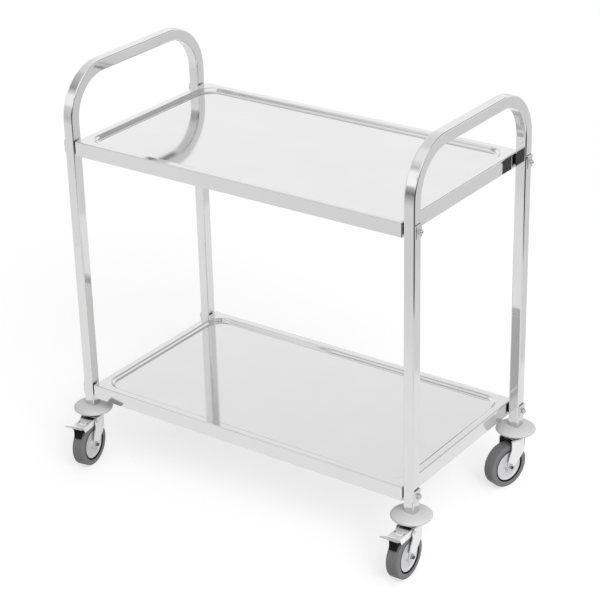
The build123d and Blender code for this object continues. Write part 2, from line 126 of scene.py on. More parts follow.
# Even sky: its bright side, where its dark side starts and how dark and bright it gets
LIGHT_SIDE = (0.70, -0.20, 0.68)
SHADE_START = -0.5
SKY_DARKEST = 0.05
SKY_BRIGHTEST = 1.4

# Studio seen in the polished steel: grey level by height above the horizon, side by side
LEFT_BANDS = (
    (-1.0, 0.74), (-0.35, 0.74), (-0.18, 0.54), (0.14, 0.7), (0.21, 0.94), (0.45, 0.94), (0.62, 0.32),
    (0.77, 0.52))
LOW_RIGHT_BANDS = ((-1.0, 0.67), (-0.35, 0.67), (-0.03, 0.17), (0.14, 0.45), (0.22, 1.0))
HIGH_RIGHT_BANDS = ((0.56, 1.0), (0.66, 0.57), (0.8, 0.86))
SHADE_BANDS = ((0.38, 1.0), (0.43, 0.55), (0.50, 0.6))
LENS_BANDS = ((0.14, 0.5), (0.26, 0.75), (0.40, 0.85), (0.5, 1.7), (0.7, 1.7), (1.0, 0.9))
BEHIND_LEFT_BANDS = ((0.08, 1.0), (0.40, 1.0), (0.50, 0.90), (0.75, 0.82), (1.0, 0.80))
BEHIND_RIGHT_BANDS = ((0.08, 1.0), (0.34, 0.95), (0.465, 0.95), (0.50, 0.45), (0.75, 0.45), (1.0, 0.7))
HORIZON = -0.02

# Where one side of that studio passes into the next
LEFT_TO_RIGHT = (-0.66, -0.46)
RIGHT_TO_SHADE = (-0.50, -0.44)
BEHIND_LEFT_TO_RIGHT = (-0.50, -0.15)
FRONT_TO_BEHIND = (-0.05, 0.15)
LENS_SIDE = (0.9, -0.3, -0.3)
AROUND_TO_LENS = (0.50, 0.70)


class TrolleyFinish(bpy.types.PropertyGroup):
    """Colours of the trolley's materials and the places where they change"""

    tube_colour: FloatVectorProperty(
        name="Tube colour", description="Polished stainless of the end frames",
        subtype="COLOR", default=(0.68, 0.68, 0.68), min=0, max=1)
    tray_colour: FloatVectorProperty(
        name="Tray colour", description="Satin stainless of the trays",
        subtype="COLOR", default=(0.70, 0.70, 0.70), min=0, max=1)
    bright_colour: FloatVectorProperty(
        name="Fastener colour", description="Bright steel of nuts, bolts and plates",
        subtype="COLOR", default=(0.62, 0.62, 0.62), min=0, max=1)
    zinc_colour: FloatVectorProperty(
        name="Caster colour", description="Zinc-plated steel of forks and stems",
        subtype="COLOR", default=(0.84, 0.84, 0.85), min=0, max=1)
    pedal_colour: FloatVectorProperty(
        name="Pedal colour", description="White-zinc steel of the brake pedals",
        subtype="COLOR", default=(0.90, 0.90, 0.91), min=0, max=1)
    # The pedals' darker lip is a painted dark reflection, not a duller steel
    lip_reflection_colour: FloatVectorProperty(
        name="Lip colour", description="Duller steel of the pedals' lips",
        subtype="COLOR", default=(0.50, 0.50, 0.51), min=0, max=1)
    lip_start: FloatProperty(
        name="Lip start", description="Distance of a pedal's lip in front of its pin",
        unit="LENGTH", default=0.049)
    # The forks' dark inner faces are painted shade, not a darker steel
    inside_shade_colour: FloatVectorProperty(
        name="Inside colour", description="Dark steel of the forks' inner faces",
        subtype="COLOR", default=(0.10, 0.10, 0.10), min=0, max=1)
    foot_half: FloatProperty(
        name="Fork foot", description="Half the gap between a fork's feet, with a hair of its edge",
        unit="LENGTH", default=0.0158)
    crown_half: FloatProperty(
        name="Fork crown", description="Half the gap under a fork's crown, with a hair of its edge",
        unit="LENGTH", default=0.0193)
    # On the axle bolts this near-black is painted shade at each axle; the brake springs get the same near-black
    # steel
    bolt_shade_and_spring_colour: FloatVectorProperty(
        name="Axle colour", description="Dark steel of the axle bolts and brake springs",
        subtype="COLOR", default=(0.14, 0.14, 0.14), min=0, max=1)
    bumper_colour: FloatVectorProperty(
        name="Bumper colour", description="Light grey plastic of the bumpers",
        subtype="COLOR", default=(0.62, 0.62, 0.62), min=0, max=1)
    wheel_colour: FloatVectorProperty(
        name="Wheel colour", description="Light grey plastic of the wheel cores",
        subtype="COLOR", default=(0.66, 0.66, 0.67), min=0, max=1)
    tyre_colour: FloatVectorProperty(
        name="Tyre colour", description="Grey rubber of the tyres",
        subtype="COLOR", default=(0.19, 0.19, 0.19), min=0, max=1)
    # On the bead rings and the slot tabs this black is painted shade; on pads, plugs and brake shoes it is the
    # rubber's own colour
    rubber_and_shade_colour: FloatVectorProperty(
        name="Rubber colour", description="Black rubber of pads, plugs, bead rings and brake shoes",
        subtype="COLOR", default=(0.012, 0.012, 0.012), min=0, max=1)


class TrolleyWheels(bpy.types.PropertyGroup):
    """Sizes of the moulded tyres and their black bead rings, which are painted shade in the grooves round the
    wheel cores
    """

    tyre_width: FloatProperty(
        name="Tyre width", description="Width of a tyre along its axle", unit="LENGTH", default=0.029)
    tyre_bevel: FloatProperty(
        name="Shoulder bevel", description="Size of the bevel between tread and side wall",
        unit="LENGTH", default=0.0024)
    tyre_round: FloatProperty(
        name="Edge round", description="Softening of the tyre's edges", unit="LENGTH", default=0.0008)
    seam_width: FloatProperty(
        name="Seam width", description="Width of the moulding seam round the tread",
        unit="LENGTH", default=0.0010)
    seam_height: FloatProperty(
        name="Seam height", description="How far the moulding seam stands out",
        unit="LENGTH", default=0.0002)
    groove_radius: FloatProperty(
        name="Groove radius", description="Outer radius of the groove round the wheel core",
        unit="LENGTH", default=0.038)
    seat_radius: FloatProperty(
        name="Seat radius", description="Inner radius of the tyre", unit="LENGTH", default=0.0345)
    groove_depth: FloatProperty(
        name="Groove depth", description="Depth of the groove round the wheel core",
        unit="LENGTH", default=0.007)
    bead_height: FloatProperty(
        name="Bead height", description="Height of the bead ring above the groove's floor",
        unit="LENGTH", default=0.0067)
    bead_lining: FloatProperty(
        name="Bead lining", description="Thickness of the bead ring against the groove's outer wall",
        unit="LENGTH", default=0.0006)
    bead_web: FloatProperty(
        name="Bead web", description="Thickness of the bead ring at the foot of its channel",
        unit="LENGTH", default=0.0007)
    bead_play: FloatProperty(
        name="Bead play", description="Room round a bead ring in its groove", unit="LENGTH", default=0.0001)


class TrolleyBrakes(bpy.types.PropertyGroup):
    """Sizes of the brakes' return springs and of the black tabs that paint shade into the pedals' slots"""

    spring_wire: FloatProperty(
        name="Spring wire", description="Thickness of the return spring's wire",
        unit="LENGTH", default=0.0015)
    spring_radius: FloatProperty(
        name="Spring radius", description="Radius of the return spring at its wire",
        unit="LENGTH", default=0.0036)
    spring_length: FloatProperty(
        name="Spring length", description="Length of the return spring along its pin",
        unit="LENGTH", default=0.028)
    spring_pitch: FloatProperty(
        name="Spring pitch", description="Distance between two turns of the spring",
        unit="LENGTH", default=0.0017)
    plate_under: FloatProperty(
        name="Plate underside", description="Height of the pedal plate's underside above its pin",
        unit="LENGTH", default=0.0032)
    tab_reach: FloatProperty(
        name="Tab reach", description="Distance of the slots in front of the pedal's pin",
        unit="LENGTH", default=0.0245)
    tab_side: FloatProperty(
        name="Tab side", description="Distance of the slots from the pedal's middle",
        unit="LENGTH", default=0.0105)
    tab_length: FloatProperty(
        name="Tab length", description="Length of a tab in its slot", unit="LENGTH", default=0.0068)
    tab_width: FloatProperty(
        name="Tab width", description="Width of a tab in its slot", unit="LENGTH", default=0.0018)
    tab_height: FloatProperty(
        name="Tab height", description="How far a tab stands above its foot", unit="LENGTH", default=0.0021)
    tab_foot: FloatProperty(
        name="Tab foot", description="Thickness of a tab's foot under the plate",
        unit="LENGTH", default=0.0015)
    tab_shoulder: FloatProperty(
        name="Tab shoulder", description="Shoulder of a tab's foot round its slot",
        unit="LENGTH", default=0.0005)


class TrolleyStage(bpy.types.PropertyGroup):
    """Camera and lights"""

    camera_place: FloatVectorProperty(
        name="Camera place", description="Where the camera stands",
        subtype="TRANSLATION", unit="LENGTH", default=(2.2236, -3.0772, 2.2183))
    camera_azimuth: FloatProperty(
        name="Camera azimuth", description="Turn of the view about the vertical",
        subtype="ANGLE", default=math.radians(35.795))
    camera_elevation: FloatProperty(
        name="Camera elevation", description="How far the view looks down",
        subtype="ANGLE", default=math.radians(25.315))
    camera_roll: FloatProperty(
        name="Camera roll", description="Tilt of the picture",
        subtype="ANGLE", default=math.radians(-1.423))
    camera_lens: FloatProperty(
        name="Lens", description="Focal length on a 36 mm sensor",
        subtype="DISTANCE_CAMERA", default=115.054)
    sky_level: FloatProperty(
        name="Sky level", description="Strength of the even studio light", default=0.78, min=0)
    front_level: FloatProperty(
        name="Front window", description="Brightness of the front window in the polished steel",
        default=1.32, min=0)
    back_level: FloatProperty(
        name="Back wall", description="Brightness of the back wall in the polished steel",
        default=1.14, min=0)
    dark_level: FloatProperty(
        name="Dark studio", description="Brightness of the dark studio in the polished steel",
        default=0.08, min=0)
    low_level: FloatProperty(
        name="Low level", description="Brightness of the far floor in the polished steel",
        default=0.74, min=0)
    key_level: FloatProperty(
        name="Key lamp", description="Power of the large soft lamp", subtype="POWER", default=950, min=0)


class TrolleySettings(bpy.types.PropertyGroup):
    """All settings of the trolley"""

    finish: PointerProperty(type=TrolleyFinish)
    wheels: PointerProperty(type=TrolleyWheels)
    brakes: PointerProperty(type=TrolleyBrakes)
    stage: PointerProperty(type=TrolleyStage)


def rgba(colour):
    """A colour with full opacity."""
    return (*colour, 1.0)


def new_material(name):
    """A material that holds only its surface shader and output, with its nodes and links."""
    material = bpy.data.materials.new(name)
    material.use_nodes = True
    nodes = material.node_tree.nodes
    return material, nodes, material.node_tree.links, nodes["Principled BSDF"]


def stretched_noise(nodes, links, stretch, scale, detail):
    """Noise drawn out along an axis, as the grain of rolled or brushed metal."""
    place = nodes.new("ShaderNodeTexCoord")
    mapping = nodes.new("ShaderNodeMapping")
    mapping.inputs["Scale"].default_value = stretch
    noise = nodes.new("ShaderNodeTexNoise")
    noise.inputs["Scale"].default_value = scale
    noise.inputs["Detail"].default_value = detail
    links.new(place.outputs["Object"], mapping.inputs["Vector"])
    links.new(mapping.outputs["Vector"], noise.inputs["Vector"])
    return noise.outputs["Fac"]


def to_range(nodes, links, value, low, high, start=0.0, end=1.0):
    """Maps a value from start to end onto low to high."""
    ranged = nodes.new("ShaderNodeMapRange")
    ranged.inputs["From Min"].default_value = start
    ranged.inputs["From Max"].default_value = end
    ranged.inputs["To Min"].default_value = low
    ranged.inputs["To Max"].default_value = high
    links.new(value, ranged.inputs["Value"])
    return ranged.outputs["Result"]


def eased(nodes, links, value, start, end):
    """A smooth step from 0 at start to 1 at end."""
    step = nodes.new("ShaderNodeMapRange")
    step.interpolation_type = "SMOOTHSTEP"
    step.inputs["From Min"].default_value = start
    step.inputs["From Max"].default_value = end
    links.new(value, step.inputs["Value"])
    return step.outputs["Result"]


def worked_out(nodes, links, operation, first, second):
    """One sum of a value and another value or a plain number."""
    sum_node = nodes.new("ShaderNodeMath")
    sum_node.operation = operation
    links.new(first, sum_node.inputs[0])
    if isinstance(second, bpy.types.NodeSocket):
        links.new(second, sum_node.inputs[1])
    else:
        sum_node.inputs[1].default_value = second
    return sum_node.outputs["Value"]


def towards(nodes, links, direction, side):
    """How far a direction or a point lies to a side."""
    dot = nodes.new("ShaderNodeVectorMath")
    dot.operation = "DOT_PRODUCT"
    dot.inputs[1].default_value = side
    links.new(direction, dot.inputs[0])
    return dot.outputs["Value"]


def blended(nodes, links, factor, first, second):
    """The first colour where a factor is 0, passing into the second where it is 1."""
    mix = nodes.new("ShaderNodeMix")
    mix.data_type = "RGBA"
    links.new(factor, mix.inputs["Factor"])
    links.new(first, mix.inputs["A"])
    links.new(second, mix.inputs["B"])
    return mix.outputs["Result"]


def banded(nodes, links, height, bands):
    """Grey level by height above the horizon, given as (height, level) pairs."""
    ramp = nodes.new("ShaderNodeValToRGB")
    stops = ramp.color_ramp.elements
    for index, (at, level) in enumerate(bands):
        stop = stops[index] if index < len(stops) else stops.new(1.0)
        stop.position = (at + 1) / 2
        stop.color = rgba((level, level, level))
    links.new(height, ramp.inputs["Fac"])
    return ramp.outputs["Color"]


def tinted(nodes, links, value, colour, spread):
    """Colour that varies a little with a 0 to 1 value."""
    ramp = nodes.new("ShaderNodeValToRGB")
    darker, lighter = ramp.color_ramp.elements
    darker.color = rgba([part * (1 - spread) for part in colour])
    lighter.color = rgba([min(1, part * (1 + spread)) for part in colour])
    darker.position, lighter.position = CLOUD_ENDS
    links.new(value, ramp.inputs["Fac"])
    return ramp.outputs["Color"]


def bumped(nodes, links, value, strength, distance, shader):
    """Raises a shader's surface by a 0 to 1 value."""
    bump = nodes.new("ShaderNodeBump")
    bump.inputs["Strength"].default_value = strength
    bump.inputs["Distance"].default_value = distance
    links.new(value, bump.inputs["Height"])
    links.new(bump.outputs["Normal"], shader.inputs["Normal"])


def grained_steel(name, colour, stretch, rough, spread=0.03, grain=0.08, metallic=1.0):
    """Stainless or plated steel with a fine grain and a soft cloudiness."""
    material, nodes, links, shader = new_material(name)
    shader.inputs["Metallic"].default_value = metallic
    grain_value = stretched_noise(nodes, links, stretch, GRAIN_SCALE, GRAIN_DETAIL)
    cloud = stretched_noise(nodes, links, ALL_ROUND, STEEL_CLOUDS, CLOUD_DETAIL)
    links.new(tinted(nodes, links, cloud, colour, spread), shader.inputs["Base Color"])
    links.new(to_range(nodes, links, grain_value, *rough), shader.inputs["Roughness"])
    bumped(nodes, links, grain_value, grain, GRAIN_DEPTH, shader)
    return material


def moulded(name, colour, rough, scale, strength, spread=0.04, gloss=0.5):
    """Moulded plastic or rubber with a fine pitted skin."""
    material, nodes, links, shader = new_material(name)
    shader.inputs["Specular IOR Level"].default_value = gloss
    skin = stretched_noise(nodes, links, ALL_ROUND, scale, SKIN_DETAIL)
    cloud = stretched_noise(nodes, links, ALL_ROUND, MOULD_CLOUDS, CLOUD_DETAIL)
    links.new(tinted(nodes, links, cloud, colour, spread), shader.inputs["Base Color"])
    links.new(to_range(nodes, links, skin, *rough), shader.inputs["Roughness"])
    bumped(nodes, links, skin, strength, SKIN_DEPTH, shader)
    return material


def two_toned(material, mask, second):
    """Gives a material a second colour where a mask is 1."""
    nodes, links = material.node_tree.nodes, material.node_tree.links
    colour = nodes["Principled BSDF"].inputs["Base Color"]
    other = nodes.new("ShaderNodeRGB")
    other.outputs["Color"].default_value = rgba(second)
    links.new(blended(nodes, links, mask, colour.links[0].from_socket, other.outputs["Color"]), colour)


def joint_of(corner, ending):
    """A corner's joint from the record."""
    return next(joint for joint in frame["joints"] if joint["name"] == f"{corner}_{ending}")


def axle_height():
    """Height of an axle above the floor, which is the wheels' radius."""
    return joint_of(CORNERS[0], "roll")["pos_m"][2]


def dress(node, material):
    """Gives a CAD piece its material."""
    mesh = frame["nodes"][node].data
    mesh.materials.clear()
    mesh.materials.append(material)


def pick(mode, kind, test):
    """Selects the elements of the mesh in edit mode that a test accepts, and only those."""
    bpy.ops.mesh.select_mode(type=mode)
    bpy.ops.mesh.select_all(action="DESELECT")
    mesh = bpy.context.object.data
    shape = bmesh.from_edit_mesh(mesh)
    for element in kind(shape):
        element.select_set(test(element))
    bmesh.update_edit_mesh(mesh)


def pick_faces(test):
    """Selects the faces of the mesh in edit mode that a test accepts."""
    pick("FACE", lambda shape: shape.faces, test)


def pick_edges(test):
    """Selects the edges of the mesh in edit mode that a test accepts."""
    pick("EDGE", lambda shape: shape.edges, test)


def on_circle(point, radius, height):
    """Whether a point is on a circle about the axle, on either side of the wheel."""
    return abs(math.hypot(point.x, point.y) - radius) < CLOSE and abs(abs(point.z) - height) < CLOSE


def circle_bevel(radius, height, offset, segments):
    """Bevels the edges along a circle about the axle, on both sides of the wheel."""
    def along(edge):
        first, second = (end.co for end in edge.verts)
        level = abs(first.z - second.z) < CLOSE
        return level and on_circle(first, radius, height) and on_circle(second, radius, height)
    pick_edges(along)
    bpy.ops.mesh.bevel(offset=offset, segments=segments, affect="EDGES")


def hollowed():
    """Opens a bore through a round blank between its two selected end faces."""
    bpy.ops.mesh.delete(type="FACE")
    bpy.ops.mesh.select_mode(type="EDGE")
    bpy.ops.mesh.select_non_manifold()
    bpy.ops.mesh.bridge_edge_loops()


def is_end(face):
    """Whether a face of a round blank is one of its two round end faces."""
    return len(face.verts) == ROUND_STEPS


def round_blank(name, radius, depth):
    """A closed cylinder about the vertical, open in edit mode."""
    bpy.ops.object.select_all(action="DESELECT")
    bpy.ops.mesh.primitive_cylinder_add(
        vertices=ROUND_STEPS, radius=radius, depth=depth, end_fill_type="NGON")
    blank = bpy.context.object
    blank.name = name
    bpy.ops.object.mode_set(mode="EDIT")
    return blank


def mirrored(piece):
    """Adds the other side of a piece in edit mode, and leaves it in edit mode."""
    bpy.ops.object.mode_set(mode="OBJECT")
    both = piece.modifiers.new("other_side", "MIRROR")
    both.use_axis = (False, False, True)
    bpy.ops.object.modifier_apply(modifier=both.name)
    bpy.ops.object.mode_set(mode="EDIT")


def finished_blank():
    """Closes the work on a blank in edit mode: merges doubles, turns faces outward and smooths them."""
    bpy.ops.mesh.select_all(action="SELECT")
    bpy.ops.mesh.remove_doubles(threshold=MERGED)
    bpy.ops.mesh.normals_make_consistent(inside=False)
    if bmesh.from_edit_mesh(bpy.context.object.data).calc_volume(signed=True) < 0:
        bpy.ops.mesh.flip_normals()
    bpy.ops.object.mode_set(mode="OBJECT")
    bpy.ops.object.shade_smooth_by_angle(angle=SMOOTH_ANGLE)


def on_joints(pattern, ending, corners, joint_ending, body_ending, material, replaced=None):
    """Copies a pattern drawn about the vertical onto a joint's axis at each corner, and removes it."""
    for corner in corners:
        joint = joint_of(corner, joint_ending)
        bpy.ops.object.select_all(action="DESELECT")
        piece = pattern.copy()
        piece.data = pattern.data.copy()
        piece.name = f"{corner}_{ending}"
        bpy.context.scene.collection.objects.link(piece)
        turn = Vector(joint["axis"]).to_track_quat("Z", "Y").to_matrix().to_4x4()
        piece.matrix_world = Matrix.Translation(joint["pos_m"]) @ turn
        piece.select_set(True)
        bpy.context.view_layer.objects.active = piece
        bpy.ops.object.transform_apply(location=True, rotation=True, scale=True)
        piece.data.materials.clear()
        piece.data.materials.append(bpy.data.materials[material])
        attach(piece, f"{corner}_{body_ending}")
        if replaced:
            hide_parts(f"{corner}_{replaced}")
    bpy.data.objects.remove(pattern)


class TROLLEY_OT_tyres(bpy.types.Operator):
    """Mould a tyre with bevelled shoulders and a fine seam for each wheel"""

    bl_idname = "trolley.tyres"
    bl_label = "Tyres"

    def execute(self, context):
        wheels = context.scene.trolley.wheels
        wheel_radius = axle_height()
        radius = wheel_radius - wheels.seam_height
        half = wheels.tyre_width / 2
        tyre = round_blank("tyre_pattern", radius, wheels.tyre_width)
        pick_faces(is_end)
        bpy.ops.mesh.inset(thickness=radius - wheels.groove_radius)
        for side in (-1, 1):
            pick_faces(lambda face: is_end(face) and face.normal.z * side > 0)
            bpy.ops.mesh.extrude_region_move(
                TRANSFORM_OT_translate={"value": (0, 0, -side * wheels.groove_depth)})
        pick_faces(is_end)
        bpy.ops.mesh.inset(thickness=wheels.groove_radius - wheels.seat_radius)
        pick_faces(is_end)
        hollowed()
        circle_bevel(radius, half, wheels.tyre_bevel, 1)
        circle_bevel(radius, half - wheels.tyre_bevel, wheels.tyre_round, EDGE_SEGMENTS)
        circle_bevel(radius - wheels.tyre_bevel, half, wheels.tyre_round, EDGE_SEGMENTS)
        circle_bevel(wheels.groove_radius, half, wheels.tyre_round, EDGE_SEGMENTS)
        bpy.ops.mesh.select_all(action="SELECT")
        bpy.ops.mesh.bisect(plane_co=(0, 0, 0), plane_no=(0, 0, 1))
        circle_bevel(radius, 0, wheels.seam_width / 2, 1)
        pick_faces(lambda face: abs(face.calc_center_median().z) < CLOSE
                   and math.hypot(*face.calc_center_median().xy) > wheels.groove_radius
                   and face.calc_area() < wheels.seam_width * wheel_radius)
        bpy.ops.mesh.extrude_region_shrink_fatten(TRANSFORM_OT_shrink_fatten={"value": wheels.seam_height})
        finished_blank()
        on_joints(tyre, "moulded_tyre", CORNERS, "roll", "wheel", "grey_tyre", replaced="tyre")
        return {"FINISHED"}


class TROLLEY_OT_beads(bpy.types.Operator):
    """Set a black ring with a V-shaped channel in the groove on both sides of each wheel, as painted shade in the
    groove
    """

    bl_idname = "trolley.beads"
    bl_label = "Bead rings"

    def execute(self, context):
        wheels = context.scene.trolley.wheels
        outer = wheels.groove_radius - wheels.bead_play
        inner = wheels.seat_radius + wheels.bead_play
        ring = round_blank("bead_pattern", outer, wheels.bead_height)
        pick_faces(lambda face: is_end(face) and face.normal.z < 0)
        bpy.ops.mesh.inset(thickness=outer - inner)
        pick_faces(lambda face: is_end(face) and face.normal.z > 0)
        bpy.ops.mesh.inset(thickness=wheels.bead_lining)
        fall = wheels.bead_height - wheels.bead_web
        bpy.ops.mesh.extrude_region_move(TRANSFORM_OT_translate={"value": (0, 0, -fall)})
        bpy.ops.mesh.inset(thickness=outer - wheels.bead_lining - inner)
        bpy.ops.transform.translate(value=(0, 0, fall - wheels.bead_web))
        pick_faces(is_end)
        hollowed()
        bead_round = wheels.bead_lining / 3
        circle_bevel(outer, wheels.bead_height / 2, bead_round, BEAD_SEGMENTS)
        bpy.ops.mesh.select_all(action="SELECT")
        floor_of_groove = wheels.tyre_width / 2 - wheels.groove_depth + wheels.bead_play
        bpy.ops.transform.translate(value=(0, 0, floor_of_groove + wheels.bead_height / 2))
        mirrored(ring)
        finished_blank()
        # Black rings that paint shade into the grooves round the wheel cores
        on_joints(ring, "groove_shade_rings", CORNERS, "roll", "wheel", "black_rubber_and_shade")
        return {"FINISHED"}


class TROLLEY_OT_springs(bpy.types.Operator):
    """Wind a dark return spring round the pin of each brake pedal"""

    bl_idname = "trolley.springs"
    bl_label = "Brake springs"

    def execute(self, context):
        brakes = context.scene.trolley.brakes
        bpy.ops.object.select_all(action="DESELECT")
        bpy.ops.mesh.primitive_circle_add(
            vertices=WIRE_STEPS, radius=brakes.spring_wire / 2, rotation=(math.pi / 2, 0, 0),
            location=(brakes.spring_radius, 0, -brakes.spring_length / 2))
        spring = bpy.context.object
        spring.name = "spring_pattern"
        bpy.ops.object.transform_apply(location=True, rotation=True, scale=True)
        coil = spring.modifiers.new("coil", "SCREW")
        coil.axis = "Z"
        coil.iterations = round(brakes.spring_length / brakes.spring_pitch)
        coil.screw_offset = brakes.spring_length / coil.iterations
        coil.steps = coil.render_steps = WIRE_STEPS * 2
        bpy.ops.object.modifier_apply(modifier=coil.name)
        bpy.ops.object.mode_set(mode="EDIT")
        bpy.ops.mesh.select_all(action="SELECT")
        bpy.ops.mesh.fill_holes(sides=0)
        finished_blank()
        on_joints(spring, "brake_spring", BRAKED, "brake_press", "caster", "bolt_shade_and_spring_steel")
        return {"FINISHED"}


class TROLLEY_OT_tabs(bpy.types.Operator):
    """Mould black rubber tabs that fill the slots of each pedal, as painted shade in the slots"""

    bl_idname = "trolley.tabs"
    bl_label = "Shoe tabs"

    def execute(self, context):
        brakes = context.scene.trolley.brakes
        shoulder = brakes.tab_shoulder
        foot_top = brakes.plate_under - TAB_PLAY
        bpy.ops.object.select_all(action="DESELECT")
        bpy.ops.mesh.primitive_cube_add(
            size=1, location=(-brakes.tab_reach, foot_top - brakes.tab_foot / 2, brakes.tab_side),
            scale=(brakes.tab_length + 2 * shoulder, brakes.tab_foot, brakes.tab_width + 2 * shoulder))
        tabs = bpy.context.object
        tabs.name = "tab_pattern"
        bpy.ops.object.transform_apply(location=True, rotation=True, scale=True)
        bpy.ops.object.mode_set(mode="EDIT")
        pick_faces(lambda face: face.normal.y > FACING)
        bpy.ops.mesh.inset(thickness=shoulder)
        bpy.ops.mesh.extrude_region_move(TRANSFORM_OT_translate={"value": (0, brakes.tab_height, 0)})
        across = brakes.tab_width / 2
        pick_edges(lambda edge: (
            abs((edge.verts[0].co - edge.verts[1].co).y) > brakes.tab_height / 2
            and all(abs(abs(end.co.z - brakes.tab_side) - across) < CLOSE for end in edge.verts)))
        bpy.ops.mesh.bevel(offset=across * TAB_ROUND, segments=TAB_SEGMENTS, affect="EDGES")
        mirrored(tabs)
        finished_blank()
        on_joints(tabs, "slot_shade_tabs", BRAKED, "brake_press", "brake", "black_rubber_and_shade")
        return {"FINISHED"}


class TROLLEY_OT_materials(bpy.types.Operator):
    """Give every piece of the trolley its finish"""

    bl_idname = "trolley.materials"
    bl_label = "Finishes"

    def pedal_plate(self, finish, corner):
        """White-zinc steel with a darker lip in front, a painted dark reflection."""
        name = f"{corner}_pedal_plate"
        material = grained_steel(name, finish.pedal_colour, ZINC_GRAIN, rough=(0.16, 0.26), metallic=0.35)
        nodes, links = material.node_tree.nodes, material.node_tree.links
        press = joint_of(corner, "brake_press")
        forward = Vector((press["axis"][1], -press["axis"][0], 0))
        start = forward.dot(Vector(press["pos_m"])) + finish.lip_start
        place = nodes.new("ShaderNodeTexCoord")
        ahead = towards(nodes, links, place.outputs["Object"], forward)
        # Painted dark reflection on the lip in front of the pin
        two_toned(material, eased(nodes, links, ahead, start, start + LIP_BLEND), finish.lip_reflection_colour)
        return material

    def fork_plate(self, finish, corner):
        """Zinc-plated steel with painted shade on the inner faces, between the fork's legs."""
        name = f"{corner}_fork_plate"
        material = grained_steel(name, finish.zinc_colour, ZINC_GRAIN, ZINC_ROUGH, metallic=ZINC_METAL)
        nodes, links = material.node_tree.nodes, material.node_tree.links
        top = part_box(f"{corner}_fork")[1][2]
        roll = joint_of(corner, "roll")
        axle = Vector(roll["axis"])
        middle = axle.dot(Vector(roll["pos_m"]))
        place = nodes.new("ShaderNodeTexCoord")
        parts = nodes.new("ShaderNodeSeparateXYZ")
        links.new(place.outputs["Object"], parts.inputs["Vector"])
        height = parts.outputs["Z"]
        across = towards(nodes, links, place.outputs["Object"], axle)
        gap = to_range(nodes, links, height, finish.foot_half, finish.crown_half,
                       start=top - FLARE_FOOT, end=top - FLARE_HEAD)
        right_of_left_leg = worked_out(
            nodes, links, "GREATER_THAN", worked_out(nodes, links, "ADD", across, gap), middle)
        left_of_right_leg = worked_out(
            nodes, links, "LESS_THAN", worked_out(nodes, links, "SUBTRACT", across, gap), middle)
        between = worked_out(nodes, links, "MULTIPLY", right_of_left_leg, left_of_right_leg)
        below = worked_out(nodes, links, "LESS_THAN", height, top - CROWN_UNDER)
        # Painted shade on the inner faces between the legs, below the crown
        two_toned(material, worked_out(nodes, links, "MULTIPLY", between, below), finish.inside_shade_colour)
        return material

    def execute(self, context):
        finish = context.scene.trolley.finish
        zinc = grained_steel("zinc_plate", finish.zinc_colour, ZINC_GRAIN, ZINC_ROUGH, metallic=ZINC_METAL)
        # Black rubber, also used for the bead rings and slot tabs that paint shade
        rubber = moulded("black_rubber_and_shade", finish.rubber_and_shade_colour, rough=(0.7, 0.9), scale=700.0, strength=0.12,
                         gloss=0.15)
        by_slot = {
            "frame_steel": grained_steel(
                "polished_tube", finish.tube_colour, ALONG_LEGS, rough=(0.03, 0.07), grain=0.01),
            "tray_steel": grained_steel(
                "satin_tray", finish.tray_colour, ALONG_TRAYS, rough=(0.04, 0.10), spread=0.012, grain=0.01),
            "fastener_steel": grained_steel(
                "bright_fastener", finish.bright_colour, BRIGHT_GRAIN, rough=(0.12, 0.22)),
            "caster_steel": zinc,
            "bumper_plastic": moulded(
                "grey_bumper", finish.bumper_colour, rough=(0.32, 0.46), scale=900.0, strength=0.06),
            "wheel_plastic": moulded(
                "grey_wheel", finish.wheel_colour, rough=(0.35, 0.5), scale=900.0, strength=0.06),
            "tyre_rubber": moulded(
                "grey_tyre", finish.tyre_colour, rough=(0.45, 0.6), scale=700.0, strength=0.12, gloss=0.25),
            "pad_rubber": rubber,
            "plug_plastic": rubber,
            "shoe_rubber": rubber,
        }
        # Near-black axle bolts paint the shade at each axle; the brake springs share this steel
        bolt_shade_and_spring_steel = grained_steel("bolt_shade_and_spring_steel", finish.bolt_shade_and_spring_colour, BRIGHT_GRAIN, rough=(0.3, 0.45))
        own = {f"{corner}_brake_pedal": self.pedal_plate(finish, corner) for corner in BRAKED}
        for corner in CORNERS:
            own[f"{corner}_axle_bolt"] = bolt_shade_and_spring_steel
            own[f"{corner}_fork"] = self.fork_plate(finish, corner)
        for piece in frame["record"]["subparts"]:
            node = piece["node"]
            dress(node, own.get(node) or by_slot[piece["material_slot"]])
        return {"FINISHED"}


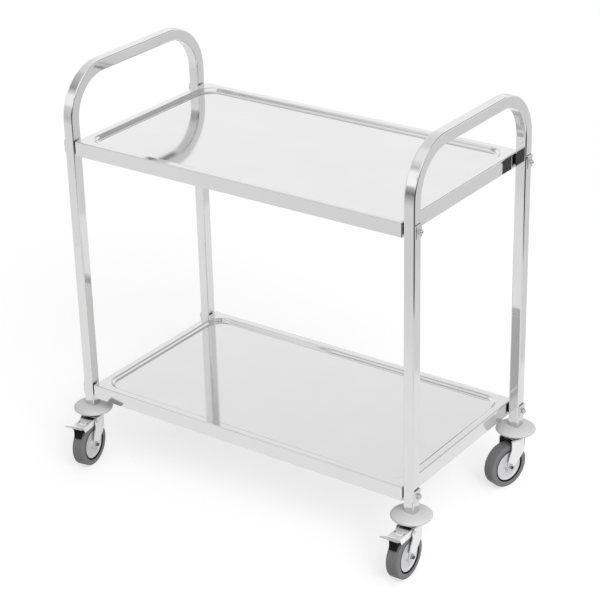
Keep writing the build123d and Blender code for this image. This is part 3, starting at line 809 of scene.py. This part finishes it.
class TROLLEY_OT_stage(bpy.types.Operator):
    """Lay the floor and set up the soft studio light and the camera"""

    bl_idname = "trolley.stage"
    bl_label = "Stage"

    def floor(self):
        """A pale round floor that glows a little to the camera and in the polished steel."""
        bpy.ops.object.select_all(action="DESELECT")
        bpy.ops.mesh.primitive_circle_add(vertices=FLOOR_STEPS, radius=FLOOR_RADIUS, fill_type="NGON")
        floor = bpy.context.object
        floor.name = "studio_floor"
        material, nodes, links, shader = new_material("studio_floor")
        shader.inputs["Base Color"].default_value = rgba(FLOOR_COLOUR)
        shader.inputs["Roughness"].default_value = FLOOR_ROUGH
        shader.inputs["Specular IOR Level"].default_value = 0.0
        shader.inputs["Emission Color"].default_value = rgba(WHITE)
        path = nodes.new("ShaderNodeLightPath")
        in_steel = path.outputs["Is Glossy Ray"]
        seen = worked_out(nodes, links, "MAXIMUM", path.outputs["Is Camera Ray"], in_steel)
        glow = to_range(nodes, links, seen, 0.0, FLOOR_GLOW)
        place = nodes.new("ShaderNodeTexCoord")
        for side, start, end in FLOOR_FALLS:
            far = eased(nodes, links, towards(nodes, links, place.outputs["Object"], side), start, end)
            fallen = worked_out(nodes, links, "MULTIPLY", far, in_steel)
            drop = to_range(nodes, links, fallen, 0.0, FLOOR_DROP)
            glow = worked_out(nodes, links, "SUBTRACT", glow, drop)
        links.new(glow, shader.inputs["Emission Strength"])
        floor.data.materials.append(material)

    def card(self):
        """A dark card with soft edges that stands low behind the trolley and shows only in polished steel."""
        bpy.ops.object.select_all(action="DESELECT")
        bpy.ops.mesh.primitive_plane_add(size=1.0, rotation=(math.pi / 2, 0, 0), location=CARD_PLACE)
        card = bpy.context.object
        card.name = "studio_card"
        card.scale = CARD_SIZE
        bpy.ops.object.transform_apply(location=True, rotation=True, scale=True)
        material, nodes, links, shader = new_material("studio_card")
        shader.inputs["Base Color"].default_value = rgba(CARD_COLOUR)
        shader.inputs["Roughness"].default_value = 1.0
        shader.inputs["Specular IOR Level"].default_value = 0.0
        place = nodes.new("ShaderNodeTexCoord")
        parts = nodes.new("ShaderNodeSeparateXYZ")
        links.new(place.outputs["UV"], parts.inputs["Vector"])
        fades = []
        for axis in ("X", "Y"):
            from_edge = worked_out(nodes, links, "PINGPONG", parts.outputs[axis], CARD_MIDDLE)
            fades.append(eased(nodes, links, from_edge, 0.0, CARD_FADE))
        shown = worked_out(nodes, links, "MULTIPLY", *fades)
        links.new(to_range(nodes, links, shown, 0.0, CARD_DEPTH), shader.inputs["Alpha"])
        card.data.materials.append(material)
        card.visible_camera = False
        card.visible_diffuse = False
        card.visible_shadow = False

    def studio(self, nodes, links, stage, direction):
        """The banded studio that the polished steel mirrors."""
        parts = nodes.new("ShaderNodeSeparateXYZ")
        links.new(direction, parts.inputs["Vector"])
        rise = to_range(nodes, links, parts.outputs["Z"], 0.0, 1.0, start=-1.0)
        ground = ((-1.0, stage.low_level), (HORIZON, stage.low_level))
        dark = ((-1.0, stage.dark_level), (HORIZON, stage.dark_level))
        left = banded(nodes, links, rise, LEFT_BANDS)
        right = banded(nodes, links, rise, LOW_RIGHT_BANDS + HIGH_RIGHT_BANDS)
        shaded = banded(nodes, links, rise, LOW_RIGHT_BANDS + SHADE_BANDS + HIGH_RIGHT_BANDS)
        lens_side = banded(nodes, links, rise, dark + LENS_BANDS)
        behind_left = banded(nodes, links, rise, ground + BEHIND_LEFT_BANDS)
        behind_right = banded(nodes, links, rise, ground + BEHIND_RIGHT_BANDS)
        across, depth = parts.outputs["X"], parts.outputs["Y"]
        beside = eased(nodes, links, across, *RIGHT_TO_SHADE)
        right = blended(nodes, links, beside, right, shaded)
        front = blended(nodes, links, eased(nodes, links, across, *LEFT_TO_RIGHT), left, right)
        turn = eased(nodes, links, across, *BEHIND_LEFT_TO_RIGHT)
        behind = blended(nodes, links, turn, behind_left, behind_right)
        back = eased(nodes, links, depth, *FRONT_TO_BEHIND)
        around = blended(nodes, links, back, front, behind)
        near_lens = eased(nodes, links, towards(nodes, links, direction, LENS_SIDE), *AROUND_TO_LENS)
        studio = nodes.new("ShaderNodeBackground")
        links.new(blended(nodes, links, near_lens, around, lens_side), studio.inputs["Color"])
        level = to_range(nodes, links, back, stage.front_level, stage.back_level)
        links.new(level, studio.inputs["Strength"])
        return studio

    def sky(self, stage):
        """An even sky that lights the trolley, white to the camera, and the studio seen in polished steel."""
        world = bpy.data.worlds.new("studio_sky")
        bpy.context.scene.world = world
        world.use_nodes = True
        nodes, links = world.node_tree.nodes, world.node_tree.links
        even = nodes["Background"]
        even.inputs["Color"].default_value = rgba(WHITE)
        path = nodes.new("ShaderNodeLightPath")
        direction = nodes.new("ShaderNodeTexCoord").outputs["Generated"]
        lit = towards(nodes, links, direction, LIGHT_SIDE)
        level = to_range(nodes, links, lit, SKY_DARKEST * stage.sky_level, SKY_BRIGHTEST * stage.sky_level,
                         start=SHADE_START)
        shown = nodes.new("ShaderNodeMix")
        links.new(path.outputs["Is Camera Ray"], shown.inputs["Factor"])
        links.new(level, shown.inputs["A"])
        shown.inputs["B"].default_value = 1.0
        links.new(shown.outputs["Result"], even.inputs["Strength"])
        studio = self.studio(nodes, links, stage, direction)
        in_steel = worked_out(
            nodes, links, "MAXIMUM", path.outputs["Is Glossy Ray"], path.outputs["Is Transmission Ray"])
        both = nodes.new("ShaderNodeMixShader")
        links.new(in_steel, both.inputs["Fac"])
        links.new(even.outputs["Background"], both.inputs[1])
        links.new(studio.outputs["Background"], both.inputs[2])
        links.new(both.outputs["Shader"], nodes["World Output"].inputs["Surface"])

    def lamp(self, stage):
        """A large soft lamp in front on the right, which the steel does not mirror."""
        bpy.ops.object.light_add(type="AREA", location=LAMP_PLACE)
        lamp = bpy.context.object
        lamp.name = "key_softbox"
        lamp.data.size = LAMP_SIZE
        lamp.data.energy = stage.key_level
        lamp.visible_glossy = False
        aim = Vector(LAMP_AIM) - Vector(LAMP_PLACE)
        lamp.rotation_euler = aim.to_track_quat("-Z", "Y").to_euler()

    def camera(self, stage):
        """The photograph's camera."""
        bpy.ops.object.camera_add()
        camera = bpy.context.object
        camera.name = "photo_camera"
        turn = (
            Matrix.Rotation(stage.camera_azimuth, 4, "Z")
            @ Matrix.Rotation(math.pi / 2 - stage.camera_elevation, 4, "X")
            @ Matrix.Rotation(stage.camera_roll, 4, "Z")
        )
        camera.matrix_world = Matrix.Translation(stage.camera_place) @ turn
        camera.data.sensor_width = SENSOR_WIDTH
        camera.data.lens = stage.camera_lens
        camera.data.clip_end = VIEW_DEPTH
        bpy.context.scene.camera = camera

    def execute(self, context):
        stage = context.scene.trolley.stage
        self.floor()
        self.card()
        self.sky(stage)
        self.lamp(stage)
        self.camera(stage)
        context.scene.view_settings.view_transform = "Standard"
        return {"FINISHED"}


class TROLLEY_PT_panel(bpy.types.Panel):
    """Lists the steps that make the trolley"""

    bl_idname = "TROLLEY_PT_panel"
    bl_label = "Serving Trolley"
    bl_space_type = "VIEW_3D"
    bl_region_type = "UI"
    bl_category = "Trolley"

    def draw(self, context):
        for operator in OPERATORS:
            self.layout.operator(operator.bl_idname)


OPERATORS = (
    TROLLEY_OT_materials, TROLLEY_OT_tyres, TROLLEY_OT_beads, TROLLEY_OT_springs, TROLLEY_OT_tabs,
    TROLLEY_OT_stage)
SETTINGS = (TrolleyFinish, TrolleyWheels, TrolleyBrakes, TrolleyStage, TrolleySettings)
CLASSES = (*SETTINGS, *OPERATORS, TROLLEY_PT_panel)


def register():
    """Adds the trolley's settings, steps and panel to Blender."""
    for cls in CLASSES:
        bpy.utils.register_class(cls)
    bpy.types.Scene.trolley = PointerProperty(type=TrolleySettings)


def unregister():
    """Takes them away again."""
    del bpy.types.Scene.trolley
    for cls in reversed(CLASSES):
        bpy.utils.unregister_class(cls)


def main():
    """Makes the trolley and its stage."""
    register()
    bpy.ops.trolley.materials()
    bpy.ops.trolley.tyres()
    bpy.ops.trolley.beads()
    bpy.ops.trolley.springs()
    bpy.ops.trolley.tabs()
    bpy.ops.trolley.stage()


if __name__ == "__main__":
    main()
